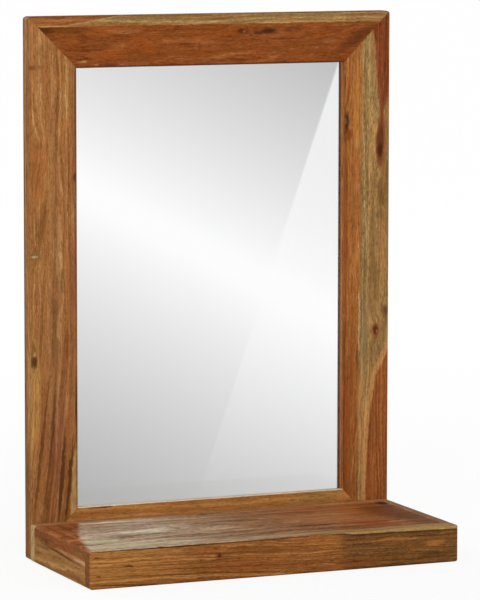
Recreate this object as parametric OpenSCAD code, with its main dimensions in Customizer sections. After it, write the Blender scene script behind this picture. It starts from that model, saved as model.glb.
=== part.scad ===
// A wall mirror in a mitred solid wood frame, with a box shelf at its foot.
// The frame hangs on two keyhole plates and can also stand on the shelf's underside.
// X runs to the viewer's right, Y away from the viewer, Z up. The origin is the middle
// of the underside. Sizes are in millimetres.

/* [Frame] */
// Overall width of the frame, and of the shelf in front of it
frame_w = 500; // [400:10:700]
// Overall height of the frame
frame_h = 690; // [500:10:1000]
// Width of the four frame boards, seen from the front
frame_face = 65; // [60:1:90]
// Thickness of the frame boards
frame_t = 20; // [20:1:28]
// Radius of the frame's four outer corners
outer_corner_r = 6; // [2:1:12]
// Radius of the eased long edges of the frame and the shelf
edge_r = 2; // [1:0.5:3]

/* [Mirror and backing] */
// Thickness of the frame's lip in front of the glass
lip_t = 8.5; // [6:0.5:9]
// Width of the lip that covers the glass rebate
lip_w = 8; // [6:1:12]
// Thickness of the glass
glass_t = 4; // [3:0.5:4.5]
// Clearance between the glass and the sides of its rebate
glass_gap = 1; // [0.5:0.5:2]
// Thickness of the silvering with its back paint
silvering_t = 0.2; // [0.1:0.1:0.4]
// Thickness of the double-sided tape behind the glass
tape_t = 1.5; // [1:0.5:2]
// Width of one strip of tape
tape_w = 20; // [15:1:30]
// Distance from the ends of a strip to the edges of the glass
tape_inset = 40; // [20:5:60]
// Number of strips of tape
tape_count = 3; // [2:1:5]
// Thickness of the backing board
backing_t = 3; // [2.5:0.5:3.5]
// Width of the ledge that the backing board is screwed to
ledge_w = 12; // [10:1:14]
// Clearance between the backing board and the sides of its rebate
backing_gap = 0.5; // [0.5:0.5:2]

/* [Shelf] */
// Depth of the shelf in front of the frame
shelf_d = 210; // [140:5:300]
// Height of the shelf, from its underside to its top
shelf_h = 48; // [42:1:60]
// Thickness of the front board, the back board and the two ends
wall_t = 15; // [14:1:20]
// Thickness of the top board
top_t = 12; // [10:1:15]
// Thickness of the underside board
underside_t = 9; // [6:1:12]
// Width of the battens inside the shelf
batten_w = 15; // [14:1:22]
// Radius of the two upright corners at the shelf's front
front_corner_r = 2; // [1:0.5:4]
// Radius of the edges round the shelf's two ends
end_edge_r = 4.5; // [2:0.5:5]

/* [Hangers] */
// Width of a keyhole plate
hanger_w = 20; // [18:1:24]
// Length of a keyhole plate
hanger_len = 50; // [48:1:60]
// Thickness of a keyhole plate
hanger_t = 1.5; // [1:0.5:2]
// Distance from the frame's top edge to the middle of a keyhole plate
hanger_drop = 100; // [95:5:160]
// Radius of the hole that takes the head of the wall screw
key_head_r = 5; // [4:0.5:5.5]
// Half the width of the slot that takes the neck of the wall screw
key_neck_r = 2.25; // [1.5:0.25:3]
// Distance that the wall screw travels along its slot
key_travel = 12; // [9:1:13]
// Depth of the pocket for the screw head, below the plate
pocket_depth = 8; // [6:1:9]
// Clearance around the screw head in its pocket
pocket_gap = 1; // [0.5:0.5:1.5]
// Distance from the ends of a plate to its two screws
hanger_screw_inset = 6; // [5:0.5:6.5]

/* [Dowels] */
// Radius of the dowels in the mitres and the shelf's corners
dowel_r = 3; // [2.5:0.5:4]
// Half the length of a dowel in a mitre
mitre_dowel_half = 12; // [9:1:14]
// Distance along a mitre from its outer corner to the first dowel
mitre_dowel_start = 24; // [22:1:28]
// Distance between the two dowels of a mitre
mitre_dowel_pitch = 18; // [12:1:20]
// Depth that a corner dowel enters the shelf's front or back board
corner_dowel_short = 10; // [8:1:12]
// Depth that a corner dowel enters the shelf's end board
corner_dowel_long = 14; // [10:1:20]
// Height between the two dowels of a shelf corner
corner_dowel_pitch = 20; // [14:1:26]
// Radius of the dowels between the frame and the shelf
locating_dowel_r = 4; // [3:0.5:5]
// Depth that a locating dowel enters the frame and the shelf
locating_dowel_half = 11; // [8:1:12]
// Distance from the frame's sides to the locating dowels
locating_dowel_inset = 135; // [125:1:145]
// Empty depth left at each end of a dowel hole
dowel_end_gap = 1; // [0.5:0.5:1.5]

/* [Screws] */
// Radius of the shank of the screws that hold the shelf to the frame
fixing_shank_r = 2.5; // [2:0.25:3]
// Radius of the head of the screws that hold the shelf to the frame
fixing_head_r = 4.8; // [4:0.2:5.4]
// Depth that these screws enter the shelf's back batten
fixing_bite = 10; // [8:1:13]
// Number of screws that hold the shelf to the frame
fixing_count = 4; // [2:1:4]
// Distance from the frame's sides to the outer fixing screws
fixing_inset = 80; // [75:1:90]
// Radius of the shank of the screws in the top and the underside
board_shank_r = 1.75; // [1.5:0.25:2]
// Radius of the head of the screws in the top and the underside
board_head_r = 3.4; // [3:0.2:4]
// Depth that the top's screws enter the top board
top_bite = 8; // [6:1:9]
// Number of screws in each long batten that hold the top
top_screw_count = 3; // [2:1:3]
// Distance from the inside of the shelf's ends to the outer top screws
top_screw_inset = 85; // [80:1:100]
// Depth that the underside's screws enter the battens
underside_bite = 11; // [8:1:14]
// Number of screws in each long batten that hold the underside
underside_screw_count = 4; // [2:1:4]
// Distance from the inside of the shelf's ends to the outer underside screws
underside_screw_inset = 35; // [30:1:40]
// Radius of the shank of the small screws in backing and hangers
small_shank_r = 1.2; // [1:0.1:1.5]
// Radius of the head of the small screws in backing and hangers
small_head_r = 2.7; // [2.4:0.1:3]
// Height of the round head of a backing screw
pan_head_h = 2; // [1.5:0.25:2.5]
// Depth that the backing's screws enter the frame
backing_bite = 7; // [5:1:8]
// Number of backing screws along each upright side
backing_side_count = 3; // [2:1:5]
// Number of backing screws along the top and along the bottom
backing_end_count = 2; // [2:1:4]
// Distance from the backing's corners to the nearest screws
backing_screw_inset = 60; // [40:5:80]
// Depth that the hangers' screws enter the frame
hanger_bite = 10; // [8:1:12]
// Depth of the cross recess in a screw's head
recess_depth = 1.2; // [0.8:0.1:1.4]
// Width of the arms of the cross recess
recess_w = 0.8; // [0.6:0.1:1]

/* [Hidden] */
$fn = 48;
// Length by which a cutting shape passes the face that it cuts
past = 1;
// Length of a screw's point, in shank radii
point_radii = 2;
// Length of an arm of the cross recess, in head radii
recess_radii = 1.2;
// Width of the flat on top of a round head, and height of its rim, as shares of the head
pan_flat_share = 0.7;
pan_rim_share = 0.55;

// Planes across the depth, from the wall to the shelf's front
total_d = frame_t + shelf_d;
wall_y = total_d / 2;
face_y = wall_y - frame_t;
front_y = -total_d / 2;

// The layers behind the lip
glass_y = face_y + lip_t;
silvering_y = glass_y + glass_t;
tape_y = silvering_y + silvering_t;
backing_y = tape_y + tape_t;
backing_back_y = backing_y + backing_t;

// The opening of the frame, and what fits in behind it
opening_w = frame_w - 2 * frame_face;
opening_h = frame_h - 2 * frame_face;
glass_w = opening_w + 2 * (lip_w - glass_gap);
glass_h = opening_h + 2 * (lip_w - glass_gap);
rebate_w = lip_w + ledge_w;
backing_w = opening_w + 2 * (rebate_w - backing_gap);
backing_h = opening_h + 2 * (rebate_w - backing_gap);
// Width of the part of a frame board that keeps its full thickness
full_w = frame_face - rebate_w;
ledge_mid = lip_w + ledge_w / 2;

// The inside of the shelf's box
inner_w = frame_w - 2 * wall_t;
inner_front_y = front_y + wall_t;
inner_back_y = face_y - wall_t;
inner_d = inner_back_y - inner_front_y;
shelf_mid_y = (front_y + face_y) / 2;
mid_z = shelf_h / 2;
batten_h = shelf_h - top_t - underside_t;
batten_top_z = underside_t + batten_h;
front_batten_y = inner_front_y + batten_w / 2;
back_batten_y = inner_back_y - batten_w / 2;
end_x = (frame_w - wall_t) / 2;
side_batten_x = (inner_w - batten_w) / 2;

// The keyhole plates
hanger_x = frame_w / 2 - full_w / 2;
hanger_z = frame_h - hanger_drop;
hanger_screw_z = hanger_len / 2 - hanger_screw_inset;
pocket_r = key_head_r + pocket_gap;

// Places of the screws and dowels that stand in rows
fixing_xs = spread(fixing_count, frame_w - 2 * fixing_inset);
top_screw_xs = spread(top_screw_count, inner_w - 2 * top_screw_inset);
underside_screw_xs = spread(underside_screw_count, inner_w - 2 * underside_screw_inset);
locating_xs = spread(2, frame_w - 2 * locating_dowel_inset);
tape_zs = spread(tape_count, glass_h - 2 * tape_inset - tape_w);
backing_side_zs = spread(backing_side_count, backing_h - 2 * backing_screw_inset);
backing_end_xs = spread(backing_end_count, backing_w - 2 * backing_screw_inset);
backing_screw_x = opening_w / 2 + ledge_mid;
backing_screw_z = opening_h / 2 + ledge_mid;

// Colours of the woods and the hardware
red_brown = "#8b4a26";
golden_brown = "#a5703f";
orange_brown = "#9a5c2c";
olive_brown = "#96703f";
pale_wood = "#b8935f";
beech = "#d9b98a";
steel = "#b4b8bc";
zinc_yellow = "#c9b06a";
hardboard = "#6f4e33";
glass_green = "#cfe0dc";
silver_grey = "#c8cdd2";
foam_white = "#e8e8e4";

// Evenly spaced places, centred on zero, with the outer two the given span apart
function spread(count, span) = [for (i = [0:count - 1]) span * (i / (count - 1) - 0.5)];

// ---------------------------------------------------------------- shared shapes

// The sliver that is cut off a square corner at the origin to round it to radius r
module corner_sliver(r) {
    difference() {
        translate([-past, -past]) square(r + past);
        translate([r, r]) circle(r);
    }
}

// A rectangle centred on the origin with all four corners rounded
module rounded_rectangle(w, h, r) {
    difference() {
        square([w, h], center = true);
        for (flip_x = [0, 1], flip_y = [0, 1])
            mirror([flip_x, 0])
                mirror([0, flip_y])
                    translate([-w / 2, -h / 2]) corner_sliver(r);
    }
}

// Two circles joined by a straight stretch along the flat shape's Y
module slot_shape(r, travel) {
    for (s = [-1, 1])
        translate([0, s * travel / 2]) circle(r);
    square([2 * r, travel], center = true);
}

// Stands a flat shape up in X and Z, with its thickness running towards the wall
module upright(t) {
    translate([0, t, 0])
        rotate([90, 0, 0])
            linear_extrude(height = t) children();
}

// A block given by its low and high corners
module block(low, high) {
    translate(low) cube(high - low);
}

// A countersunk screw's outer shape, with its head at the origin and its tip along +Z
module countersunk_shape(head_r, shank_r, length) {
    cone_h = head_r - shank_r;
    point_h = point_radii * shank_r;
    rotate_extrude()
        polygon([
            [0, 0], [head_r, 0], [shank_r, cone_h],
            [shank_r, length - point_h], [0, length]
        ]);
}

// The cross recess in a screw's head, sunk along +Z from the origin
module cross_recess(head_r) {
    for (turn = [0, 90])
        rotate([0, 0, turn])
            translate([-recess_radii * head_r / 2, -recess_w / 2, -past])
                cube([recess_radii * head_r, recess_w, recess_depth + past]);
}

module countersunk_screw(head_r, shank_r, length) {
    difference() {
        countersunk_shape(head_r, shank_r, length);
        cross_recess(head_r);
    }
}

// ---------------------------------------------------------------- the frame

// Section of a frame board: its outer edge at 0, its front face at 0, its back at frame_t
module frame_section() {
    difference() {
        square([frame_face, frame_t]);
        corner_sliver(edge_r);
        translate([frame_face, 0]) mirror([1, 0]) corner_sliver(edge_r);
        translate([0, frame_t]) mirror([0, 1]) corner_sliver(edge_r);
        translate([frame_face - lip_w, lip_t]) square([lip_w + past, frame_t]);
        translate([full_w, backing_y - face_y]) square([rebate_w + past, frame_t]);
    }
}

// The frame's front view, from which each board takes one side between its mitres
module frame_outline() {
    translate([0, frame_h / 2]) rounded_rectangle(frame_w, frame_h, outer_corner_r);
}

module stile_outline() {
    intersection() {
        frame_outline();
        polygon([
            [-frame_w / 2, 0], [-frame_w / 2, frame_h],
            [-opening_w / 2, frame_h - frame_face], [-opening_w / 2, frame_face]
        ]);
    }
}

module rail_outline() {
    intersection() {
        frame_outline();
        polygon([
            [-frame_w / 2, 0], [frame_w / 2, 0],
            [opening_w / 2, frame_face], [-opening_w / 2, frame_face]
        ]);
    }
}

// A stile on the left, from the section run upwards and cut at both mitres
module stile_blank() {
    intersection() {
        translate([-frame_w / 2, face_y, 0])
            linear_extrude(height = frame_h) frame_section();
        translate([0, face_y, 0]) upright(frame_t) stile_outline();
    }
}

// A rail at the bottom, from the section run sideways and cut at both mitres
module rail_blank() {
    intersection() {
        translate([frame_w / 2, face_y, 0])
            rotate([0, -90, 0])
                linear_extrude(height = frame_w) frame_section();
        translate([0, face_y, 0]) upright(frame_t) rail_outline();
    }
}

// Turns something made for the frame's bottom over to its top
module to_top() {
    translate([0, 0, frame_h]) mirror([0, 0, 1]) children();
}

// Turns something made for the left over to the right
module to_right() {
    mirror([1, 0, 0]) children();
}

// The two dowels across the mitre at the bottom left corner
module mitre_dowels(half) {
    for (i = [0, 1])
        translate([-frame_w / 2, face_y + frame_t / 2, 0])
            rotate([0, -45, 0])
                translate([mitre_dowel_start + i * mitre_dowel_pitch, 0, -half])
                    cylinder(r = dowel_r, h = 2 * half);
}

module all_mitre_dowels(half) {
    mitre_dowels(half);
    to_right() mitre_dowels(half);
    to_top() mitre_dowels(half);
    to_top() to_right() mitre_dowels(half);
}

// The backing's screws, each with its head on the board's back
module backing_screw_places() {
    translate([0, backing_back_y, frame_h / 2]) {
        for (s = [-1, 1]) {
            for (z = backing_side_zs)
                translate([s * backing_screw_x, 0, z]) rotate([90, 0, 0]) children();
            for (x = backing_end_xs)
                translate([x, 0, s * backing_screw_z]) rotate([90, 0, 0]) children();
        }
    }
}

module backing_screw_holes() {
    backing_screw_places() {
        translate([0, 0, -past]) cylinder(r = small_shank_r, h = past + backing_t);
        backing_screw_shank();
    }
}

module backing_screw_shank() {
    length = backing_t + backing_bite;
    point_h = point_radii * small_shank_r;
    rotate_extrude()
        polygon([
            [0, 0], [small_shank_r, 0], [small_shank_r, length - point_h], [0, length]
        ]);
}

module backing_screw() {
    difference() {
        union() {
            backing_screw_shank();
            rotate_extrude()
                polygon([
                    [0, -pan_head_h], [pan_flat_share * small_head_r, -pan_head_h],
                    [small_head_r, -pan_rim_share * pan_head_h], [small_head_r, 0], [0, 0]
                ]);
        }
        translate([0, 0, -pan_head_h]) cross_recess(small_head_r);
    }
}

// The four screws that pass from the frame's back into the shelf
module fixing_screw_places() {
    for (x = fixing_xs)
        translate([x, wall_y, mid_z]) rotate([90, 0, 0]) children();
}

module fixing_screw_holes() {
    fixing_screw_places()
        countersunk_shape(fixing_head_r, fixing_shank_r, frame_t + wall_t + fixing_bite);
}

module locating_dowels(half) {
    for (x = locating_xs)
        translate([x, face_y + half, mid_z])
            rotate([90, 0, 0])
                cylinder(r = locating_dowel_r, h = 2 * half);
}

// The recess and pocket for a keyhole plate, in the left stile's back
module hanger_cuts() {
    translate([-hanger_x, wall_y - hanger_t, hanger_z])
        upright(hanger_t + past) hanger_outline();
    translate([-hanger_x, wall_y - hanger_t - pocket_depth, hanger_z])
        upright(pocket_depth + past) slot_shape(pocket_r, key_travel);
    hanger_screw_places()
        countersunk_shape(small_head_r, small_shank_r, hanger_t + hanger_bite);
}

module hanger_outline() {
    slot_shape(hanger_w / 2, hanger_len - hanger_w);
}

module hanger_screw_places() {
    for (s = [-1, 1])
        translate([-hanger_x, wall_y, hanger_z + s * hanger_screw_z])
            rotate([90, 0, 0]) children();
}

module left_stile() {
    difference() {
        stile_blank();
        all_mitre_dowels(mitre_dowel_half + dowel_end_gap);
        backing_screw_holes();
        hanger_cuts();
    }
}

module frame_left_stile() {
    color(golden_brown) left_stile();
}

module frame_right_stile() {
    color(olive_brown) to_right() left_stile();
}

module frame_top_rail() {
    color(red_brown)
        difference() {
            to_top() rail_blank();
            all_mitre_dowels(mitre_dowel_half + dowel_end_gap);
            backing_screw_holes();
        }
}

module frame_bottom_rail() {
    color(orange_brown)
        difference() {
            rail_blank();
            all_mitre_dowels(mitre_dowel_half + dowel_end_gap);
            backing_screw_holes();
            fixing_screw_holes();
            locating_dowels(locating_dowel_half + dowel_end_gap);
        }
}

module frame_corner_dowels() {
    color(beech) all_mitre_dowels(mitre_dowel_half);
}

// ---------------------------------------------------------------- mirror and backing

// A flat sheet centred in the frame's opening
module sheet(w, h, t, y) {
    translate([-w / 2, y, (frame_h - h) / 2]) cube([w, t, h]);
}

module mirror_glass() {
    color(glass_green) sheet(glass_w, glass_h, glass_t, glass_y);
}

module mirror_silvering() {
    color(silver_grey) sheet(glass_w, glass_h, silvering_t, silvering_y);
}

module mirror_tape() {
    color(foam_white)
        for (z = tape_zs)
            translate([0, 0, z])
                sheet(glass_w - 2 * tape_inset, tape_w, tape_t, tape_y);
}

module backing_board() {
    color(hardboard)
        difference() {
            sheet(backing_w, backing_h, backing_t, backing_y);
            backing_screw_holes();
        }
}

module backing_screws() {
    color(steel) backing_screw_places() backing_screw();
}

// ---------------------------------------------------------------- hangers

module left_plate() {
    difference() {
        translate([-hanger_x, wall_y - hanger_t, hanger_z])
            upright(hanger_t) hanger_outline();
        translate([-hanger_x, wall_y - hanger_t - past, hanger_z]) {
            upright(hanger_t + 2 * past) slot_shape(key_neck_r, key_travel);
            translate([0, 0, -key_travel / 2])
                rotate([-90, 0, 0]) cylinder(r = key_head_r, h = hanger_t + 2 * past);
        }
        hanger_screw_places()
            countersunk_shape(small_head_r, small_shank_r, hanger_t + hanger_bite);
    }
}

module left_hanger_plate() {
    color(zinc_yellow) left_plate();
}

module right_hanger_plate() {
    color(zinc_yellow) to_right() left_plate();
}

module hanger_screws() {
    color(steel)
        for (side = [0, 1])
            mirror([side, 0, 0])
                hanger_screw_places()
                    countersunk_screw(small_head_r, small_shank_r, hanger_t + hanger_bite);
}

// ---------------------------------------------------------------- the shelf

// The shelf's outer shape: a block whose edges are eased where hands reach them
module shelf_envelope() {
    intersection() {
        translate([frame_w / 2, 0, 0])
            rotate([0, -90, 0])
                linear_extrude(height = frame_w) shelf_side_section();
        translate([0, front_y, 0])
            upright(shelf_d) translate([0, mid_z]) rounded_rectangle(frame_w, shelf_h, end_edge_r);
        linear_extrude(height = shelf_h) shelf_plan();
    }
}

// Section of the shelf seen from its end, with its height along the flat shape's X
module shelf_side_section() {
    difference() {
        translate([0, front_y]) square([shelf_h, shelf_d]);
        translate([0, front_y]) corner_sliver(edge_r);
        translate([shelf_h, front_y]) mirror([1, 0]) corner_sliver(edge_r);
    }
}

// Plan of the shelf, with its two front corners rounded
module shelf_plan() {
    difference() {
        translate([-frame_w / 2, front_y]) square([frame_w, shelf_d]);
        for (s = [0, 1])
            mirror([s, 0])
                translate([-frame_w / 2, front_y]) corner_sliver(front_corner_r);
    }
}

// The two dowels of the shelf's front left corner
module corner_dowels(end_gap) {
    length = corner_dowel_short + corner_dowel_long + 2 * end_gap;
    for (s = [-1, 1])
        translate([
            -end_x, inner_front_y - corner_dowel_short - end_gap, mid_z + s * corner_dowel_pitch / 2
        ])
            rotate([-90, 0, 0]) cylinder(r = dowel_r, h = length);
}

// Turns something made for the shelf's front over to its back
module to_back() {
    translate([0, 2 * shelf_mid_y, 0]) mirror([0, 1, 0]) children();
}

module all_corner_dowels(end_gap) {
    corner_dowels(end_gap);
    to_right() corner_dowels(end_gap);
    to_back() corner_dowels(end_gap);
    to_back() to_right() corner_dowels(end_gap);
}

// The top's screws, from the underside of the long battens upwards
module top_screw_places() {
    for (y = [front_batten_y, back_batten_y], x = top_screw_xs)
        translate([x, y, underside_t]) children();
}

module top_screw_holes() {
    top_screw_places() countersunk_shape(board_head_r, board_shank_r, batten_h + top_bite);
}

// The underside board's screws, from below into the long battens
module underside_screw_places() {
    for (y = [front_batten_y, back_batten_y], x = underside_screw_xs)
        translate([x, y, 0]) children();
}

module underside_screw_holes() {
    underside_screw_places()
        countersunk_shape(board_head_r, board_shank_r, underside_t + underside_bite);
}

// One board of the shelf's outside, between two corners of a block
module shelf_wall(low, high) {
    intersection() {
        shelf_envelope();
        block(low, high);
    }
}

module shelf_front_board() {
    color(orange_brown)
        difference() {
            shelf_wall(
                [-frame_w / 2, front_y, 0],
                [frame_w / 2, inner_front_y, shelf_h]
            );
            all_corner_dowels(dowel_end_gap);
        }
}

module shelf_back_board() {
    color(pale_wood)
        difference() {
            shelf_wall(
                [-frame_w / 2, inner_back_y, 0],
                [frame_w / 2, face_y, shelf_h]
            );
            all_corner_dowels(dowel_end_gap);
            fixing_screw_holes();
            locating_dowels(locating_dowel_half + dowel_end_gap);
        }
}

module left_end() {
    difference() {
        shelf_wall(
            [-frame_w / 2, inner_front_y, 0],
            [-inner_w / 2, inner_back_y, shelf_h]
        );
        all_corner_dowels(dowel_end_gap);
    }
}

module shelf_left_end() {
    color(olive_brown) left_end();
}

module shelf_right_end() {
    color(olive_brown) to_right() left_end();
}

module shelf_top_board() {
    color(red_brown)
        difference() {
            shelf_wall(
                [-inner_w / 2, inner_front_y, batten_top_z],
                [inner_w / 2, inner_back_y, shelf_h]
            );
            top_screw_holes();
        }
}

module shelf_underside_board() {
    color(golden_brown)
        difference() {
            shelf_wall(
                [-inner_w / 2, inner_front_y, 0],
                [inner_w / 2, inner_back_y, underside_t]
            );
            underside_screw_holes();
        }
}

// A batten as long as the shelf's inside, centred on the given depth
module long_batten(y) {
    difference() {
        translate([-inner_w / 2, y - batten_w / 2, underside_t])
            cube([inner_w, batten_w, batten_h]);
        top_screw_holes();
        underside_screw_holes();
        fixing_screw_holes();
    }
}

module shelf_front_batten() {
    color(beech) long_batten(front_batten_y);
}

module shelf_back_batten() {
    color(beech) long_batten(back_batten_y);
}

// A batten along one end of the shelf's inside, between the two long ones
module side_batten(x) {
    translate([x - batten_w / 2, inner_front_y + batten_w, underside_t])
        cube([batten_w, inner_d - 2 * batten_w, batten_h]);
}

module shelf_left_batten() {
    color(beech) side_batten(-side_batten_x);
}

module shelf_right_batten() {
    color(beech) side_batten(side_batten_x);
}

module shelf_corner_dowels() {
    color(beech) all_corner_dowels(0);
}

module shelf_locating_dowels() {
    color(beech) locating_dowels(locating_dowel_half);
}

module shelf_fixing_screws() {
    color(steel)
        fixing_screw_places()
            countersunk_screw(fixing_head_r, fixing_shank_r, frame_t + wall_t + fixing_bite);
}

module shelf_top_screws() {
    color(steel)
        top_screw_places()
            countersunk_screw(board_head_r, board_shank_r, batten_h + top_bite);
}

module shelf_underside_screws() {
    color(steel)
        underside_screw_places()
            countersunk_screw(board_head_r, board_shank_r, underside_t + underside_bite);
}

frame_top_rail();
frame_bottom_rail();
frame_left_stile();
frame_right_stile();
frame_corner_dowels();
mirror_glass();
mirror_silvering();
mirror_tape();
backing_board();
backing_screws();
left_hanger_plate();
right_hanger_plate();
hanger_screws();
shelf_front_board();
shelf_back_board();
shelf_left_end();
shelf_right_end();
shelf_top_board();
shelf_underside_board();
shelf_front_batten();
shelf_back_batten();
shelf_left_batten();
shelf_right_batten();
shelf_corner_dowels();
shelf_locating_dowels();
shelf_fixing_screws();
shelf_top_screws();
shelf_underside_screws();
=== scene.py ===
import math

import bmesh
import bpy
from mathutils import Euler, Matrix, Vector


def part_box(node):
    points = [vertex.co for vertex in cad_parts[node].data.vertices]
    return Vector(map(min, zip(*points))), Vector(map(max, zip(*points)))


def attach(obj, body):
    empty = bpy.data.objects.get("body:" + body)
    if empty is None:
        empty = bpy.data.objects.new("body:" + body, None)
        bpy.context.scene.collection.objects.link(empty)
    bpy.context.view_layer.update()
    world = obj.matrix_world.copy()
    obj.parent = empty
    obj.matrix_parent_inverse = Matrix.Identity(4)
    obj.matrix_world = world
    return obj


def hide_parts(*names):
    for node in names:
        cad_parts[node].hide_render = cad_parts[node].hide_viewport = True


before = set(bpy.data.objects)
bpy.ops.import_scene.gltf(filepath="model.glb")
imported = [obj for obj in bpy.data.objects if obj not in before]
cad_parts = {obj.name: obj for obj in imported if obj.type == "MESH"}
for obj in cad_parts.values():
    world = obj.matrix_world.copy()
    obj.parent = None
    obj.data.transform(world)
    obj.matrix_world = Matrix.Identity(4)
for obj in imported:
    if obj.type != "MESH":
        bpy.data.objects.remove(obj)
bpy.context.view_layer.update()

# ---- Sizes, in millimetres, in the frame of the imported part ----
MM = 0.001
METRE = 1000.0
FRAME_HALF_WIDTH = 250.0
FRAME_HEIGHT = 690.0
ORIGIN = Vector((0.0, 0.0, 0.0))

# ---- Camera: the photograph's viewpoint, a long lens with no shift ----
CAMERA_PLACE = Vector((-1.90316, -4.46438, 0.90400))
CAMERA_YAW = 0.4026
CAMERA_PITCH = 0.1171
CAMERA_ROLL = 0.0012
CAMERA_LENS = 232.35
SENSOR_WIDTH = 36.0
NEAREST_SEEN = 0.05
FARTHEST_SEEN = 100.0


def place_camera():
    """Looks at the object from the place that the photo was taken from."""
    data = bpy.data.cameras.new("photo_camera")
    data.lens = CAMERA_LENS
    data.sensor_width = SENSOR_WIDTH
    data.sensor_fit = "AUTO"
    data.clip_start = NEAREST_SEEN
    data.clip_end = FARTHEST_SEEN
    camera = bpy.data.objects.new("photo_camera", data)
    turn = Euler((math.pi / 2 - CAMERA_PITCH, 0.0, -CAMERA_YAW)).to_matrix()
    turn = turn @ Euler((0.0, 0.0, CAMERA_ROLL)).to_matrix()
    camera.matrix_world = Matrix.Translation(CAMERA_PLACE) @ turn.to_4x4()
    bpy.context.scene.collection.objects.link(camera)
    bpy.context.scene.camera = camera


# ---- Laying out shader nodes ----
def paint(code):
    """A colour from its six hex digits, as the linear colour that a shader takes."""
    shares = [int(code[i:i + 2], 16) / 255 for i in (1, 3, 5)]
    linear = [s / 12.92 if s <= 0.04045 else ((s + 0.055) / 1.055) ** 2.4 for s in shares]
    return (*linear, 1.0)


class Bench:
    """Puts nodes into one tree. Each method gives back the output that the next step uses."""

    def __init__(self, tree):
        self.tree = tree

    def feed(self, socket, value):
        """Links an output to the socket, or sets the socket to a plain value."""
        if isinstance(value, bpy.types.NodeSocket):
            self.tree.links.new(value, socket)
        elif value is not None:
            socket.default_value = value

    def node(self, kind, feeds=None, **settings):
        """A node with its settings made first, and then its sockets fed."""
        made = self.tree.nodes.new(kind)
        for name, value in settings.items():
            setattr(made, name, value)
        for key, value in (feeds or {}).items():
            self.feed(made.inputs[key], value)
        return made

    def math(self, operation, a, b=None, c=None, clamp=False):
        feeds = {0: a, 1: b}
        if c is not None:
            feeds[2] = c
        made = self.node("ShaderNodeMath", feeds, operation=operation, use_clamp=clamp)
        return made.outputs[0]

    def plus(self, a, b):
        return self.math("ADD", a, b)

    def minus(self, a, b):
        return self.math("SUBTRACT", a, b)

    def times(self, a, b):
        return self.math("MULTIPLY", a, b)

    def vector(self, operation, a, b=None):
        made = self.node("ShaderNodeVectorMath", {0: a}, operation=operation)
        if operation == "SCALE":
            self.feed(made.inputs["Scale"], b)
        elif b is not None:
            self.feed(made.inputs[1], b)
        return made.outputs["Value"] if operation == "LENGTH" else made.outputs[0]

    def split(self, vector):
        return self.node("ShaderNodeSeparateXYZ", {0: vector}).outputs

    def join(self, x, y, z):
        return self.node("ShaderNodeCombineXYZ", {0: x, 1: y, 2: z}).outputs[0]

    def step(self, value, low, high, start=0.0, end=1.0, kind="SMOOTHSTEP"):
        """Goes from start to end as value goes from low to high."""
        feeds = {"Value": value, "From Min": low, "From Max": high, "To Min": start, "To Max": end}
        made = self.node("ShaderNodeMapRange", feeds, interpolation_type=kind, clamp=True)
        return made.outputs["Result"]

    def mix(self, share, a, b, blend="MIX"):
        feeds = {0: share, 6: a, 7: b}
        made = self.node("ShaderNodeMix", feeds, data_type="RGBA", blend_type=blend)
        return made.outputs[2]

    def noise(self, place, detail=2.0, rough=0.5):
        """Clouds about one unit across, at a place."""
        feeds = {"Vector": place, "Scale": 1.0, "Detail": detail, "Roughness": rough}
        return self.node("ShaderNodeTexNoise", feeds, noise_dimensions="3D").outputs[0]

    def noise_along(self, value, detail=2.0, rough=0.5):
        """The same along a single value."""
        feeds = {"W": value, "Scale": 1.0, "Detail": detail, "Roughness": rough}
        return self.node("ShaderNodeTexNoise", feeds, noise_dimensions="1D").outputs[0]

    def stretched(self, place, length, width):
        """place, measured in grains of that length and width."""
        return self.vector("MULTIPLY", place, (1 / length, 1 / width, 1 / width))

    def group(self, tree, feeds):
        """Places a shared node group with its own values, and gives all its outputs."""
        return self.node("ShaderNodeGroup", feeds, node_tree=tree).outputs


def new_material(name):
    """An empty material and the bench for its nodes."""
    material = bpy.data.materials.new(name)
    material.use_nodes = True
    material.node_tree.nodes.clear()
    return material, Bench(material.node_tree)


def finish_material(bench, material, feeds, pieces):
    """Ends a material in its Principled shader and puts it on the pieces."""
    shader = bench.node("ShaderNodeBsdfPrincipled", feeds)
    bench.node("ShaderNodeOutputMaterial", {"Surface": shader.outputs[0]})
    for piece in pieces:
        for slot in piece.material_slots:
            slot.material = material


def place_in_mm(bench):
    """The place on a piece, in mm."""
    return bench.vector("SCALE", bench.node("ShaderNodeTexCoord").outputs["Object"], METRE)


def new_group(name, inputs, outputs):
    """An empty node group with those sockets: its bench, its inputs and its exits."""
    kinds = {float: "NodeSocketFloat", tuple: "NodeSocketColor", Vector: "NodeSocketVector"}
    tree = bpy.data.node_groups.new(name, "ShaderNodeTree")
    for label, start in inputs.items():
        socket = tree.interface.new_socket(label, in_out="INPUT", socket_type=kinds[type(start)])
        socket.default_value = start
    for label, kind in outputs.items():
        tree.interface.new_socket(label, in_out="OUTPUT", socket_type=kinds[kind])
    bench = Bench(tree)
    entry = bench.node("NodeGroupInput")
    leave = bench.node("NodeGroupOutput")
    return bench, entry.outputs, leave.inputs


# ---- Effects that several materials share ----
# How long and how wide the grain's figures are, in mm
DRIFT = (240.0, 40.0)
RIPPLE = (45.0, 8.0)
MOTTLE = (30.0, 2.6)
FIBRE = (16.0, 0.9)
FLUSH = (55.0, 7.0)
PORE = (7.0, 0.8)
CLOUD = (60.0, 16.0)
SPECK = (4.5, 1.1)
SWAY = (26.0, 6.0)
JITTER = (7.0, 2.5)
FRAY = (50.0, 3.0)
# How far some of them move the rings or the marks, in mm
RIPPLE_REACH = 4.0
SWAY_REACH = 5.0
JITTER_REACH = 4.0
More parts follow.
